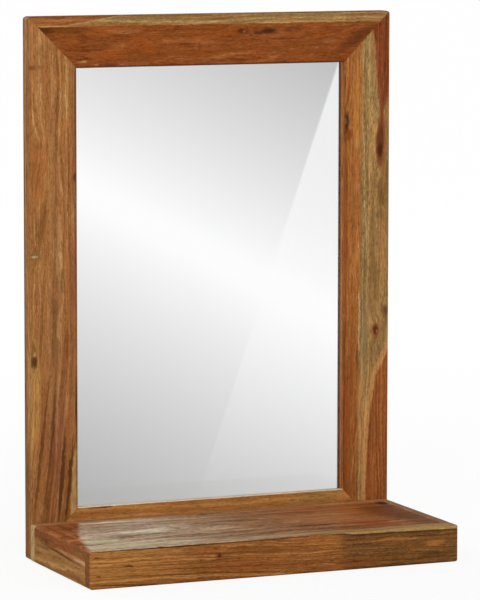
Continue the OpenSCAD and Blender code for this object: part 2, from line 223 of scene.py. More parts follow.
# How the grain runs on into the board, which rings have a dark line, and how strong specks and knots are
GRAIN_SKEW = 0.35
LINE_PITCH = 2.1
LINE_START = 41.0
SPECK_GAIN = 5.0
KNOT_FALL = 0.7
# The tones at which the wood is dark, middling and pale, the browns of its lines and pores, and the brown of
# the painted shade at its edges
DARK_TONE = 0.38
MIDDLE_TONE = 0.50
PALE_TONE = 0.62
LINE_BROWN = "#442408"
PORE_BROWN = "#3c2008"
SEAM_BROWN = "#3a2010"
EDGE_SHADE_BROWN = "#3c200e"
SEAM_CORE = 0.3
SEAM_REACH = 1.4
EDGE_CORE = 0.2
EDGE_REACH = 1.6


def make_acacia_group():
    """Solid acacia. Place is in mm: along the grain, across it, and into the board."""
    inputs = {
        "Place": ORIGIN,
        "Shift": 0.0,
        "Pith across": 0.0,
        "Pith depth": 60.0,
        "Ring": 5.0,
        "Wander": 8.0,
        "Swell": 0.0,
        "Pale": paint("#a97546"),
        "Middle": paint("#925b28"),
        "Dark": paint("#7b4618"),
        "Blush": paint("#98521f"),
        "Lines": 0.5,
        "Pores": 0.45,
        "Banding": 0.46,
        "Grit": 0.26,
        "Size": 1.0,
    }
    bench, given, leave = new_group("acacia", inputs, {"Color": tuple, "Tone": float})
    offset = bench.vector("SCALE", (131.0, 37.0, 53.0), given["Shift"])
    finer = bench.math("DIVIDE", 1.0, given["Size"])
    place = bench.vector("SCALE", bench.vector("ADD", given["Place"], offset), finer)
    axes = bench.split(given["Place"])
    beside = bench.minus(axes[1], given["Pith across"])
    below = bench.minus(axes[2], given["Pith depth"])
    radius = bench.vector("LENGTH", bench.join(0.0, beside, below))
    drift = bench.noise(bench.stretched(place, *DRIFT), 2.0, 0.5)
    drift = bench.minus(drift, 0.5)
    ripple = bench.noise(bench.stretched(place, *RIPPLE), 2.0, 0.6)
    ripple = bench.math("MULTIPLY_ADD", ripple, RIPPLE_REACH, -RIPPLE_REACH / 2)
    rings = bench.math("MULTIPLY_ADD", drift, given["Wander"], radius)
    rings = bench.plus(rings, ripple)
    rings = bench.plus(rings, given["Swell"])
    count = bench.math("DIVIDE", rings, given["Ring"])
    count = bench.plus(count, given["Shift"])
    bands = bench.noise_along(count, 4.0, 0.6)
    shifted = bench.split(place)
    oblique = bench.times(bench.plus(shifted[1], shifted[2]), GRAIN_SKEW)
    flow = bench.join(shifted[0], bench.times(rings, finer), oblique)
    mottle = bench.noise(bench.stretched(flow, *MOTTLE), 3.0, 0.65)
    fibre = bench.noise(bench.stretched(flow, *FIBRE), 2.0, 0.65)
    grit = bench.times(bench.plus(mottle, fibre), 0.5)
    apart = bench.minus(bands, grit)
    tone = bench.math("MULTIPLY_ADD", apart, given["Banding"], grit)
    color = bench.mix(bench.step(tone, MIDDLE_TONE, DARK_TONE), given["Middle"], given["Dark"])
    color = bench.mix(bench.step(tone, MIDDLE_TONE, PALE_TONE), color, given["Pale"])
    flush = bench.noise(bench.stretched(flow, *FLUSH), 2.0, 0.6)
    color = bench.mix(bench.step(flush, 0.50, 0.66, 0.0, 0.6), color, given["Blush"])
    lines = bench.noise_along(bench.math("MULTIPLY_ADD", count, LINE_PITCH, LINE_START), 2.0, 0.5)
    lines = bench.times(bench.step(lines, 0.58, 0.70), given["Lines"])
    color = bench.mix(lines, color, paint(LINE_BROWN))
    pores = bench.noise(bench.stretched(place, *PORE), 1.0, 0.5)
    pores = bench.times(bench.step(pores, 0.56, 0.72), given["Pores"])
    color = bench.mix(pores, color, paint(PORE_BROWN))
    cloud = bench.noise(bench.stretched(place, *CLOUD), 3.0, 0.55)
    light = bench.step(cloud, 0.3, 0.7, 0.86, 1.14, "LINEAR")
    speck = bench.noise(bench.stretched(place, *SPECK), 2.0, 0.7)
    speck = bench.times(bench.minus(speck, 0.5), SPECK_GAIN)
    light = bench.times(light, bench.math("MULTIPLY_ADD", speck, given["Grit"], 1.0))
    color = bench.mix(1.0, color, bench.join(light, light, light), "MULTIPLY")
    bench.feed(leave["Color"], color)
    bench.feed(leave["Tone"], bench.math("MULTIPLY_ADD", pores, -1.0, tone))
    return bench.tree


def make_mark_group():
    """A spindle-shaped figure in the grain: a streak, a spot or the ground round a knot."""
    inputs = {
        "Place": ORIGIN,
        "Along": 0.0,
        "Across": 0.0,
        "Half length": 20.0,
        "Half width": 3.0,
        "Lean": 0.0,
        "Bend": 0.0,
        "Softness": 0.6,
        "Strength": 1.0,
    }
    bench, given, leave = new_group("grain_mark", inputs, {"Mask": float, "Swell": float})
    axes = bench.split(given["Place"])
    run = bench.minus(axes[0], given["Along"])
    run = bench.math("DIVIDE", run, given["Half length"])
    square = bench.times(run, run)
    middle = bench.math("MULTIPLY_ADD", run, given["Lean"], given["Across"])
    middle = bench.math("MULTIPLY_ADD", square, given["Bend"], middle)
    aside = bench.math("DIVIDE", bench.minus(axes[1], middle), given["Half width"])
    reach = bench.math("MULTIPLY_ADD", aside, aside, square)
    inside = bench.minus(1.0, reach)
    mask = bench.step(inside, 0.0, given["Softness"])
    bench.feed(leave["Mask"], bench.times(mask, given["Strength"]))
    hump = bench.math("EXPONENT", bench.times(reach, -KNOT_FALL))
    bench.feed(leave["Swell"], bench.times(hump, given["Strength"]))
    return bench.tree


def make_mitre_group():
    """The fine dark line along the four mitres, from the place on the frame in mm."""
    bench, given, leave = new_group("mitre_line", {"Place": ORIGIN}, {"Mask": float})
    axes = bench.split(given["Place"])
    from_side = bench.minus(FRAME_HALF_WIDTH, bench.math("ABSOLUTE", axes[0]))
    from_middle = bench.minus(axes[2], FRAME_HEIGHT / 2)
    from_end = bench.minus(FRAME_HEIGHT / 2, bench.math("ABSOLUTE", from_middle))
    apart = bench.math("ABSOLUTE", bench.minus(from_side, from_end))
    bench.feed(leave["Mask"], bench.step(apart, SEAM_CORE, SEAM_REACH, 1.0, 0.0))
    return bench.tree


def make_edge_group():
    """How near a place is to an edge of a board, given the board's middle and half size in mm."""
    inputs = {
        "Place": ORIGIN,
        "Middle": ORIGIN,
        "Half size": Vector((1.0, 1.0, 1.0)),
        "Reach": 2.0,
    }
    bench, given, leave = new_group("board_edge", inputs, {"Mask": float})
    from_middle = bench.vector("SUBTRACT", given["Place"], given["Middle"])
    inset = bench.vector("SUBTRACT", given["Half size"], bench.vector("ABSOLUTE", from_middle))
    x, y, z = bench.split(inset)
    low = bench.math("MINIMUM", x, y)
    high = bench.math("MAXIMUM", x, y)
    second = bench.math("MAXIMUM", low, bench.math("MINIMUM", high, z))
    bench.feed(leave["Mask"], bench.step(second, EDGE_CORE, given["Reach"], 1.0, 0.0))
    return bench.tree


ACACIA = make_acacia_group()
MARK = make_mark_group()
MITRE = make_mitre_group()
EDGE = make_edge_group()


# ---- The wooden boards ----
AXIS = {"X": 0, "Y": 1, "Z": 2}
JOINT_REACH = 5.0
TURN_BLUR = 0.25
END_LOW = 0.75
END_HIGH = 0.95
SEAM_SHARE = 0.15
GRAIN_BUMP = 0.0002
WORN_ROUGHNESS = 0.2
SAPWOOD = "#b8955e #a27e4a #7c5a30 #a07038"
RIGHT_END = "#a98a54 #8c6034 #70441f #8c5026"
CORNER = "#b8784a #98592f #6a3818 #a25e36"


def strip(
    tones, border=None, soft=0.8, rim=None, jag=0.0,
    shift=0.0, pith=0.0, depth=60.0, ring=5.0, wander=20.0, **more,
):
    """One strip or zone of wood in a board. tones is its pale, middle, dark and blush. It lies to the left
    of the way along border, a run of points (along, across), and soft is how far it fades there. rim is the
    colour and width of a seam there, and jag how far the border frays along the grain. shift picks another
    stretch of grain, pith and depth say where the tree's middle lies, ring is the width of its rings, and
    wander how far they stray."""
    feeds = dict(zip(("Pale", "Middle", "Dark", "Blush"), map(paint, tones.split())))
    feeds.update({"Shift": shift, "Pith across": pith, "Pith depth": depth, "Ring": ring, "Wander": wander})
    feeds.update({key.capitalize(): value for key, value in more.items()})
    return {"feeds": feeds, "border": border, "soft": soft, "rim": rim, "jag": jag}


def mark_feeds(place, shape, strength):
    """What the mark group takes. shape is along, across, half length and half width, lean and bend."""
    along, across, half_length, half_width, *turn = shape
    lean, bend = (*turn, 0.0, 0.0)[:2]
    return {
        "Place": place,
        "Along": along,
        "Across": across,
        "Half length": half_length,
        "Half width": half_width,
        "Lean": lean,
        "Bend": bend,
        "Strength": strength,
    }


def inside_border(bench, along, across, border):
    """How far a place lies inside a zone, in mm, from the nearest line of its border."""
    nearest = None
    for (along_1, across_1), (along_2, across_2) in zip(border, border[1:]):
        run = along_2 - along_1
        rise = across_2 - across_1
        length = math.hypot(run, rise)
        offset = (rise * along_1 - run * across_1) / length
        apart = bench.math("MULTIPLY_ADD", across, run / length, offset)
        apart = bench.math("MULTIPLY_ADD", along, -rise / length, apart)
        nearest = apart if nearest is None else bench.math("MINIMUM", nearest, apart)
    return nearest


def draw_mark(bench, color, place, mark, shade, grain=None):
    """Lays one mark over a colour. shade keeps the grain in it, and grain thins it where wood is dark."""
    code, strength, softness, *shape = mark
    feeds = mark_feeds(place, shape, strength)
    feeds["Softness"] = softness
    mask = bench.group(MARK, feeds)["Mask"]
    if grain is not None:
        mask = bench.math("MULTIPLY", mask, grain, clamp=True)
    return bench.mix(mask, color, bench.vector("SCALE", paint(code)[:3], shade))


def lay_wood(bench, straight, layers, knots=(), sweep=None, wave=1.0, steady=()):
    """Lays zones and marks over each other. straight is the place in mm: along the grain, across it, and
    deep. The steady marks come last and keep to straight lines. knots swell the grain round them, and sweep
    bends it below a place along the board."""
    along, across, depth = bench.split(straight)
    sway = bench.noise(bench.stretched(straight, *SWAY), 2.0, 0.55)
    jitter = bench.noise(bench.stretched(straight, *JITTER), 2.0, 0.6)
    sway = bench.math("MULTIPLY_ADD", sway, SWAY_REACH * wave, -SWAY_REACH / 2 * wave)
    jitter = bench.math("MULTIPLY_ADD", jitter, JITTER_REACH * wave, -JITTER_REACH / 2 * wave)
    sway = bench.plus(sway, jitter)
    place = bench.join(along, bench.plus(across, sway), depth)
    grown = straight
    if sweep is not None:
        start, tilt, bow = sweep
        past = bench.math("MAXIMUM", bench.minus(start, along), 0.0)
        shift = bench.math("MULTIPLY_ADD", bench.times(past, past), bow, across)
        shift = bench.math("MULTIPLY_ADD", along, tilt, shift)
        grown = bench.join(along, shift, depth)
    swell = 0.0
    for rise, *shape in knots:
        hump = bench.group(MARK, mark_feeds(place, shape, rise))["Swell"]
        swell = bench.plus(hump, swell)
    color = None
    tone = None
    for layer in layers:
        if isinstance(layer, dict):
            wood = bench.group(ACACIA, {**layer["feeds"], "Place": grown, "Swell": swell})
            if color is None:
                color = wood["Color"]
                tone = wood["Tone"]
            else:
                soft = layer["soft"]
                wavy = bench.math("MULTIPLY_ADD", sway, min(0.3 + soft * 0.2, 1.0), across)
                frayed = along
                if layer["jag"]:
                    fray = bench.noise(bench.stretched(straight, *FRAY), 2.0, 0.6)
                    fray = bench.minus(fray, 0.5)
                    frayed = bench.math("MULTIPLY_ADD", fray, layer["jag"], along)
                inside = inside_border(bench, frayed, wavy, layer["border"])
                share = bench.step(inside, -soft, soft)
                color = bench.mix(share, color, wood["Color"])
                change = bench.minus(wood["Tone"], tone)
                tone = bench.math("MULTIPLY_ADD", change, share, tone)
            grain = bench.step(tone, 0.40, 0.58, 0.75, 1.10, "LINEAR")
            shade = bench.step(tone, DARK_TONE, PALE_TONE, 0.66, 1.34, "LINEAR")
            if layer["rim"] is not None:
                code, width = layer["rim"]
                seam = bench.math("ABSOLUTE", bench.minus(inside, width * 0.3))
                seam = bench.step(seam, width * 0.25, width * 0.75, 0.85, 0.0)
                color = bench.mix(seam, color, bench.vector("SCALE", paint(code)[:3], shade))
            continue
        color = draw_mark(bench, color, place, layer, shade, grain)
    for mark in steady:
        color = draw_mark(bench, color, straight, mark, shade)
    return color, tone


def board(
    node, axes, layers, knots=(), mitred=False, sweep=None, wave=1.0, steady=(), faces=None, joints="",
    edge_shade_share=0.55, gloss=0.50, shine=0.04, end_tone="#c8b08c",
):
    """Gives a board its own wood. axes says which way grain, width and thickness run, such as "ZXY". layers
    are its zones and marks, each over the one before it. faces gives a side, such as "+Z", its own axes and
    layers, and says how far a rounded edge has to turn that way to count. wave is how far the marks stray,
    and the steady ones don't. Its edges get painted shade, a darker brown that stands in for contact shade
    and dark edge reflections, and a rougher finish; edge_shade_share says how dark that painted shade gets.
    joints names the sides that meet another board flush, without that darker, rougher edge."""
    material, bench = new_material(node)
    coords = bench.node("ShaderNodeTexCoord")
    row_place = bench.vector("SCALE", coords.outputs["Object"], METRE)
    parts = bench.split(row_place)
    straight = bench.join(*(parts[AXIS[a]] for a in axes))
    color, tone = lay_wood(bench, straight, layers, knots, sweep, wave, steady)
    facing = bench.split(coords.outputs["Normal"])
    for side, (side_axes, side_layers, turned) in (faces or {}).items():
        side_place = bench.join(*(parts[AXIS[a]] for a in side_axes))
        side_color, side_tone = lay_wood(bench, side_place, side_layers)
        toward = facing[AXIS[side[1]]]
        if side[0] == "-":
            toward = bench.times(toward, -1.0)
        share = bench.step(toward, turned, turned + TURN_BLUR)
        color = bench.mix(share, color, side_color)
        tone = bench.math("MULTIPLY_ADD", bench.minus(side_tone, tone), share, tone)
    end_grain = bench.step(bench.math("ABSOLUTE", facing[AXIS[axes[0]]]), END_LOW, END_HIGH)
    color = bench.mix(end_grain, color, bench.mix(1.0, color, paint(end_tone), "MULTIPLY"))
    if mitred:
        seam = bench.group(MITRE, {"Place": row_place})["Mask"]
        color = bench.mix(bench.times(seam, SEAM_SHARE), color, paint(SEAM_BROWN))
    low, high = (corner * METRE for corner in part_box(node))
    for way, axis in joints.split():
        if way == "+":
            high[AXIS[axis]] += JOINT_REACH
        else:
            low[AXIS[axis]] -= JOINT_REACH
    edge_feeds = {"Place": row_place, "Middle": (low + high) / 2, "Half size": (high - low) / 2}
    edge = bench.group(EDGE, {**edge_feeds, "Reach": EDGE_REACH})["Mask"]
    # Painted shade: the colour darkens towards each board's edges, standing in for contact shade and dark
    # reflections along the arrises.
    color = bench.mix(bench.times(edge, edge_shade_share), color, paint(EDGE_SHADE_BROWN))
    bump = bench.node("ShaderNodeBump", {"Strength": 0.5, "Distance": GRAIN_BUMP, "Height": tone})
    rough = bench.step(tone, 0.3, 0.7, gloss + 0.08, gloss - 0.06, "LINEAR")
    rough = bench.math("MULTIPLY_ADD", edge, WORN_ROUGHNESS, rough)
    feeds = {"Base Color": color, "Roughness": rough, "Normal": bump.outputs[0], "Specular IOR Level": shine}
    finish_material(bench, material, feeds, [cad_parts[node]])


# Each mark: its colour, strength and softness, then where it lies along and across, its half length and
# half width, and how far it leans and bends over that half length, all in mm. Each knot: how far it swells
# the rings, then its place and half sizes in the same way.
board(
    "frame_left_stile", "ZXY",
    [
        strip(
            "#b58656 #9a6637 #7b4b25 #9c5e37", shift=3,
            pith=-100, depth=180, ring=6, wander=30, lines=0.3,
        ),
        ("#7d4824", 0.45, 1, 130, -212, 230, 40),
        ("#ac7e44", 0.8, 0.7, 195, -250, 105, 17, 8),
        ("#7a4430", 0.5, 1, 150, -213, 80, 14, 5),
        ("#5a3415", 0.75, 0.7, 145, -234, 105, 2.2, 12.5),
        ("#5a3415", 0.75, 0.7, 150, -220.5, 105, 2.5, 10.5, -4),
        ("#4a2a10", 0.85, 0.7, 105, -207, 70, 3.2, 5.5),
        ("#42250c", 0.85, 0.7, 100, -197, 64, 2.2, 6.5),
        ("#bc945c", 0.9, 0.5, 85, -188, 72, 7.5, 2.5),
        ("#38281c", 0.85, 0.6, 195, -186, 42, 2.6),
        ("#6e4420", 0.6, 0.7, 470, -197, 140, 1.4, -1, 1),
        ("#b58a58", 0.6, 0.9, 400, -209, 55, 4.5),
        ("#5e4a22", 0.65, 0.8, 355, -206, 22, 2.4),
        ("#7d4a2a", 0.6, 0.9, 345, -194, 95, 7),
        ("#935326", 0.6, 0.9, 492, -239, 50, 13),
        ("#744620", 0.55, 0.9, 428, -233, 42, 7, 5),
        ("#6a5430", 0.6, 1, 389, -241, 11, 10),
        ("#bda470", 0.75, 1, 388, -243, 2, 7),
        ("#7d5a2a", 0.6, 0.6, 550, -242, 14, 1.6, 8),
        ("#80502a", 0.6, 0.9, 528, -236, 7, 6),
        ("#80502a", 0.6, 1, 626, -240, 5, 13),
        ("#66381a", 0.7, 1, 626, -246, 3.6, 7),
        ("#92543a", 0.6, 0.8, 602, -249, 26, 2.4),
        ("#85502e", 0.7, 0.8, 575, -187.5, 70, 3.2),
        ("#8c4a26", 0.65, 0.9, 500, -188.5, 40, 3.6),
        ("#521f0e", 0.85, 1, 487, -187.5, 9, 3.4),
        ("#ab9056", 0.5, 0.9, 592, -198, 45, 3),
        ("#96602e", 0.6, 0.9, 632, -206.5, 46, 4.5),
        ("#6b3e1c", 0.6, 1, 262, -244, 24, 8),
        ("#40260f", 0.85, 1, 254.5, -243.5, 10, 5.6),
        ("#a58c56", 0.85, 0.8, 264.5, -243, 4, 2.5),
        ("#62401c", 0.65, 0.8, 285, -217, 42, 3, 1),
        ("#6b431e", 0.7, 0.8, 292, -234, 62, 2.8, 2),
        ("#742f16", 0.55, 0.9, 275, -199, 32, 3.2),
        ("#b4885c", 0.35, 1, 330, -213, 250, 6),
    ],
    # Steady lines: a painted highlight along the outer left arris, and painted shade along the opening's
    # inner edge.
    steady=[
        ("#c8945c", 0.55, 1, 345, -250.4, 700, 2.2),
        ("#4c3222", 0.5, 0.8, 345, -187.2, 700, 1.3),
    ],
    # The left side face: a painted highlight along its front arris, and painted shade that darkens it
    # towards its back edge.
    faces={
        "-X": ("ZYX", [
            strip("#b5844e #9e6a34 #845222 #a06232", shift=3, pith=60, depth=-100),
            ("#c8945c", 0.55, 1, 345, 96, 700, 3),
            ("#6e4624", 0.65, 1, 90, 109, 190, 9),
            ("#6e4624", 0.45, 1, 400, 113, 400, 7),
            ("#452c18", 0.9, 0.8, 345, 114.5, 700, 4.5),
        ], 0.5),
    },
    sweep=(330, 0, 0.00027),
    knots=[
        (9, 257, -244, 14, 6),
        (8, 525, -240, 30, 8),
        (6, 389, -243, 12, 8),
    ],
    mitred=True,
)
board(
    "frame_right_stile", "ZXY",
    [
        strip("#b5793f #9c6230 #7c441a #96502a", shift=7, pith=120, ring=4),
        ("#7f3f15", 0.5, 1, 130, 196, 230, 14),
        ("#7c3412", 0.5, 1, 150, 189, 110, 6),
        ("#8a3f1c", 0.6, 1, 420, 187.5, 130, 5),
        ("#b67a38", 0.6, 1, 560, 203, 75, 7),
        ("#aa8450", 0.45, 1, 518, 203, 9, 6),
        ("#b0704e", 0.5, 1, 463, 204, 8, 4.5),
        ("#5f3014", 0.8, 0.7, 240, 205, 24, 1.8),
        ("#70320f", 0.75, 0.9, 530, 190, 11, 8),
        ("#34190a", 0.9, 0.9, 546, 187, 18, 7),
        ("#7c6a54", 0.6, 0.9, 548, 186.5, 5, 1.8),
        ("#a0744c", 0.5, 0.9, 110, 201, 60, 1.8, 8),
        strip(
            "#ac8a54 #937346 #74562f #8e6c38", [(0, 205.5), (690, 211)], 2.4, jag=40,
            shift=11, pith=260, depth=150, wander=22, lines=0.3, grit=0.44,
        ),
        ("#8d5e30", 0.6, 0.8, 430, 252, 130, 20),
        ("#8c5c34", 0.4, 1, 360, 225, 300, 10),
        ("#b4804c", 0.5, 1, 350, 241, 110, 12),
        ("#b8804a", 0.6, 1, 160, 212, 110, 7),
        ("#6a4c2a", 0.7, 0.8, 350, 215, 70, 1.4, 2),
        ("#6a4c2a", 0.6, 0.8, 470, 219, 60, 1.4, 1),
        ("#bc9c6c", 0.6, 0.9, 405, 217, 50, 1.8, -2),
        ("#86714c", 0.55, 0.9, 275, 214, 80, 8),
        ("#6e4a24", 0.65, 0.9, 455, 238, 24, 6),
        ("#72532a", 0.6, 0.9, 352, 229, 44, 5, -3),
        ("#75562e", 0.5, 0.9, 405, 225, 50, 3, 2),
        ("#a8844e", 0.6, 0.9, 303, 235, 15, 7),
        ("#7a5a30", 0.6, 0.9, 425, 236, 8, 9),
        ("#7c4420", 0.85, 1, 272, 231.5, 15, 9),
        ("#4e200e", 0.9, 1, 273, 231, 9, 5.5),
        ("#a07450", 0.8, 0.8, 271, 233, 3, 1.6),
        ("#6a4526", 0.7, 0.8, 294, 244, 18, 4, -4),
        ("#50301a", 0.8, 1, 299, 248, 10, 7),
        ("#9c6a40", 0.6, 1, 560, 246, 44, 9, -3),
        ("#84451f", 0.85, 0.8, 521, 237.5, 46, 9, 1),
        ("#5a2a16", 0.9, 1, 520, 237, 38, 7.5, 1),
        ("#401c0c", 0.9, 0.9, 509, 236, 12, 6),
        ("#6a3418", 0.75, 0.9, 556, 239.5, 26, 2.6, 0.5),
        ("#5a2a14", 0.8, 0.9, 534, 238.5, 7, 3),
        ("#c8a070", 0.8, 0.7, 285, 208, 58, 1.4),
        strip(
            "#a26636 #925328 #77401d #8f4824",
            [(40, 211.5), (110, 214.5), (170, 219), (215, 227.5), (262, 251)],
            1.2, ("#b5834e", 6.5), shift=13, pith=300, depth=90,
        ),
        ("#9c6032", 0.6, 0.9, 110, 230, 60, 1.6, 3),
        ("#6a3014", 0.55, 0.9, 130, 223, 70, 2, 5, 2),
        strip(
            "#8c4f2a #75391c #54240e #80361b", [(600, 251), (548, 238), (690, 224.5)],
            2.6, jag=26, shift=17, pith=300, depth=90,
        ),
        ("#a8703c", 0.6, 1, 640, 226, 60, 2.6, -2),
        ("#5c3216", 0.55, 0.8, 610, 247, 50, 3.5),
        ("#95432a", 0.55, 0.9, 600, 234.5, 60, 2, -5),
    ],
    knots=[
        (7, 273, 231, 14, 7),
        (7, 520, 237, 36, 8),
        (6, 546, 186, 16, 8),
        (6, 298, 249, 14, 9),
    ],
    # Steady lines: painted shade along the opening's edge, a painted highlight along the outer arris near
    # the top, and painted shade along the outer edge below it.
    steady=[
        ("#783a12", 0.55, 1, 345, 185.8, 700, 2.4),
        ("#c07c40", 0.6, 1, 640, 249.5, 70, 1.8),
        ("#5a4a2c", 0.6, 1, 300, 250.6, 290, 1.8),
    ],
    # The inner lip's face is painted bright orange-brown, a painted highlight for the light that falls on
    # it.
    faces={
        "-X": ("ZYX", [
            strip("#cc8a50 #b8743e #985c2c #b06c38", shift=9, pith=60, depth=100),
            ("#ee9f66", 0.95, 1, 345, 104, 700, 6),
        ], 0.66),
    },
    joints="-X +X",
    mitred=True,
)
board(
    "frame_top_rail", "XZY",
    [
        strip(
            "#9c5c30 #83461c #662e0c #8c4616", shift=23,
            pith=640, depth=150, ring=7, wander=40, lines=0.25,
        ),
        ("#6a3212", 0.45, 1, 0, 624, 240, 9),
        ("#46260e", 0.9, 0.9, -230, 672.5, 20, 5, -2),
        ("#663814", 0.65, 0.9, -190, 672, 40, 5.5),
        ("#9c6236", 0.6, 0.8, -122, 670, 30, 4.5),
        ("#6c3814", 0.6, 0.8, -122, 664, 34, 1.6, 0, 5),
        ("#bb8250", 0.85, 0.7, -177, 632, 8, 2.2, 0, 1),
        ("#56270c", 0.7, 0.7, -175, 635.5, 15, 1.4, 0, -1),
        ("#56270c", 0.7, 0.8, -142, 628, 20, 2.2),
        ("#b07648", 0.7, 0.7, -158, 628, 4, 1.6),
        ("#7a4218", 0.55, 0.9, -60, 640, 70, 3, 2),
        ("#a06034", 0.55, 0.9, -30, 655, 60, 4, -3),
        ("#6c3812", 0.7, 1, 43, 667, 14, 5.4),
        ("#3c1c0a", 0.8, 1, 41, 667, 8, 3),
        ("#94663e", 0.75, 0.8, 44, 666.5, 3, 1.4),
        ("#6e4020", 0.75, 1, 74, 667, 28, 7),
        ("#321c0c", 0.9, 1, 78, 667, 14, 4.4, 1),
        ("#3e2410", 0.75, 1, 64, 664.5, 9, 3),
        ("#5c2c0e", 0.75, 1, 112, 668.5, 18, 5, 1.5),
        ("#8c5028", 0.55, 1, 114, 667, 7, 2),
        ("#682a0c", 0.7, 0.8, 22, 661, 6, 1.8),
        ("#6a3412", 0.6, 0.8, -18, 648, 3, 8),
        ("#5c2a0e", 0.65, 0.8, 0, 640, 12, 2, -2),
        ("#935426", 0.6, 0.9, 20, 636, 32, 5, -4),
        ("#64300f", 0.6, 0.8, 28, 632, 18, 1.8, -3),
        ("#9a643a", 0.55, 1, 163, 653, 12, 5),
        ("#84481f", 0.7, 1, 164, 652.5, 8, 2.8),
        ("#502810", 0.75, 1, 200, 654, 36, 11, 20),
        ("#8a3a1c", 0.7, 0.9, 188, 631, 15, 5, 8),
        strip(
            "#ac8a57 #8f6c3e #745029 #9c6a40", [(-300, 676.8), (300, 676.8)], 0.5,
            shift=29, pith=760, depth=140, ring=4, lines=0.3, grit=0.32,
        ),
        strip(
            "#a0683c #8e5429 #703c16 #925026",
            [(-300, 676.8), (-200, 676.8), (-108, 692), (-300, 692)],
            1.2, ("#a88454", 1.6), shift=31, pith=760, depth=140, ring=4,
        ),
        ("#b8925c", 0.7, 0.7, 130, 678.6, 115, 1.6),
        ("#b8885e", 0.7, 0.7, -30, 677.8, 70, 1.2),
        ("#75542c", 0.65, 0.8, 5, 684, 32, 2.6),
        ("#7a5a30", 0.6, 0.8, -60, 687, 42, 1.8),
        ("#7a5a30", 0.6, 0.8, 90, 684, 30, 1.6),
        ("#8c5526", 0.6, 0.8, 215, 686, 34, 2.6),
    ],
    # Painted shade along the opening's upper edge.
    steady=[("#5a2c14", 0.6, 0.8, 0, 625.4, 700, 1.4)],
    knots=[
        (6, -125, 669, 30, 6),
        (6, 76, 666, 22, 7),
        (4, 112, 668, 14, 6),
        (5, -177, 630, 16, 6),
    ],
    mitred=True,
)
board(
    "frame_bottom_rail", "XZY",
    [
        strip("#b98646 #a66e38 #8c5726 #a6663a", shift=31, depth=190, wander=24),
        ("#98763f", 0.6, 1, 150, 57, 48, 9),
        ("#7a5526", 0.6, 0.8, 148, 60, 24, 1.4, -2),
        ("#7a5526", 0.5, 0.8, 120, 54, 30, 1.2, -2),
        ("#6a3018", 0.7, 0.8, -155, 63.5, 20, 1.6),
        ("#471c0e", 0.9, 0.7, -146, 63.6, 9, 1.6),
        ("#7a4a20", 0.6, 0.7, 30, 53, 62, 1.3, 1),
        ("#a97038", 0.65, 0.9, -192, 55, 26, 10),
        ("#b8824e", 0.45, 1, 0, 52, 260, 6),
    ],
    # A painted highlight: a pale cream line along the lip's edge and a pale cream top face on the lip, for
    # the light that falls on them from above.
    steady=[("#d4ba96", 0.85, 1, 0, 66.3, 700, 2.8)],
    faces={"+Z": ("XYZ", [strip("#e9dcc6 #e1d0b6 #d1bea0 #ddc6a6", shift=5, pith=60, depth=0)], 0.5)},
    wave=0.3,
    joints="+Z -Z",
    mitred=True,
)
TOP_GROWTH = {
    "depth": -160, "ring": 7, "wander": 40, "lines": 0.25, "banding": 0.46, "grit": 0.48, "size": 1.8,
}
CORNER_GROWTH = {**TOP_GROWTH, "ring": 5, "size": 1.6}
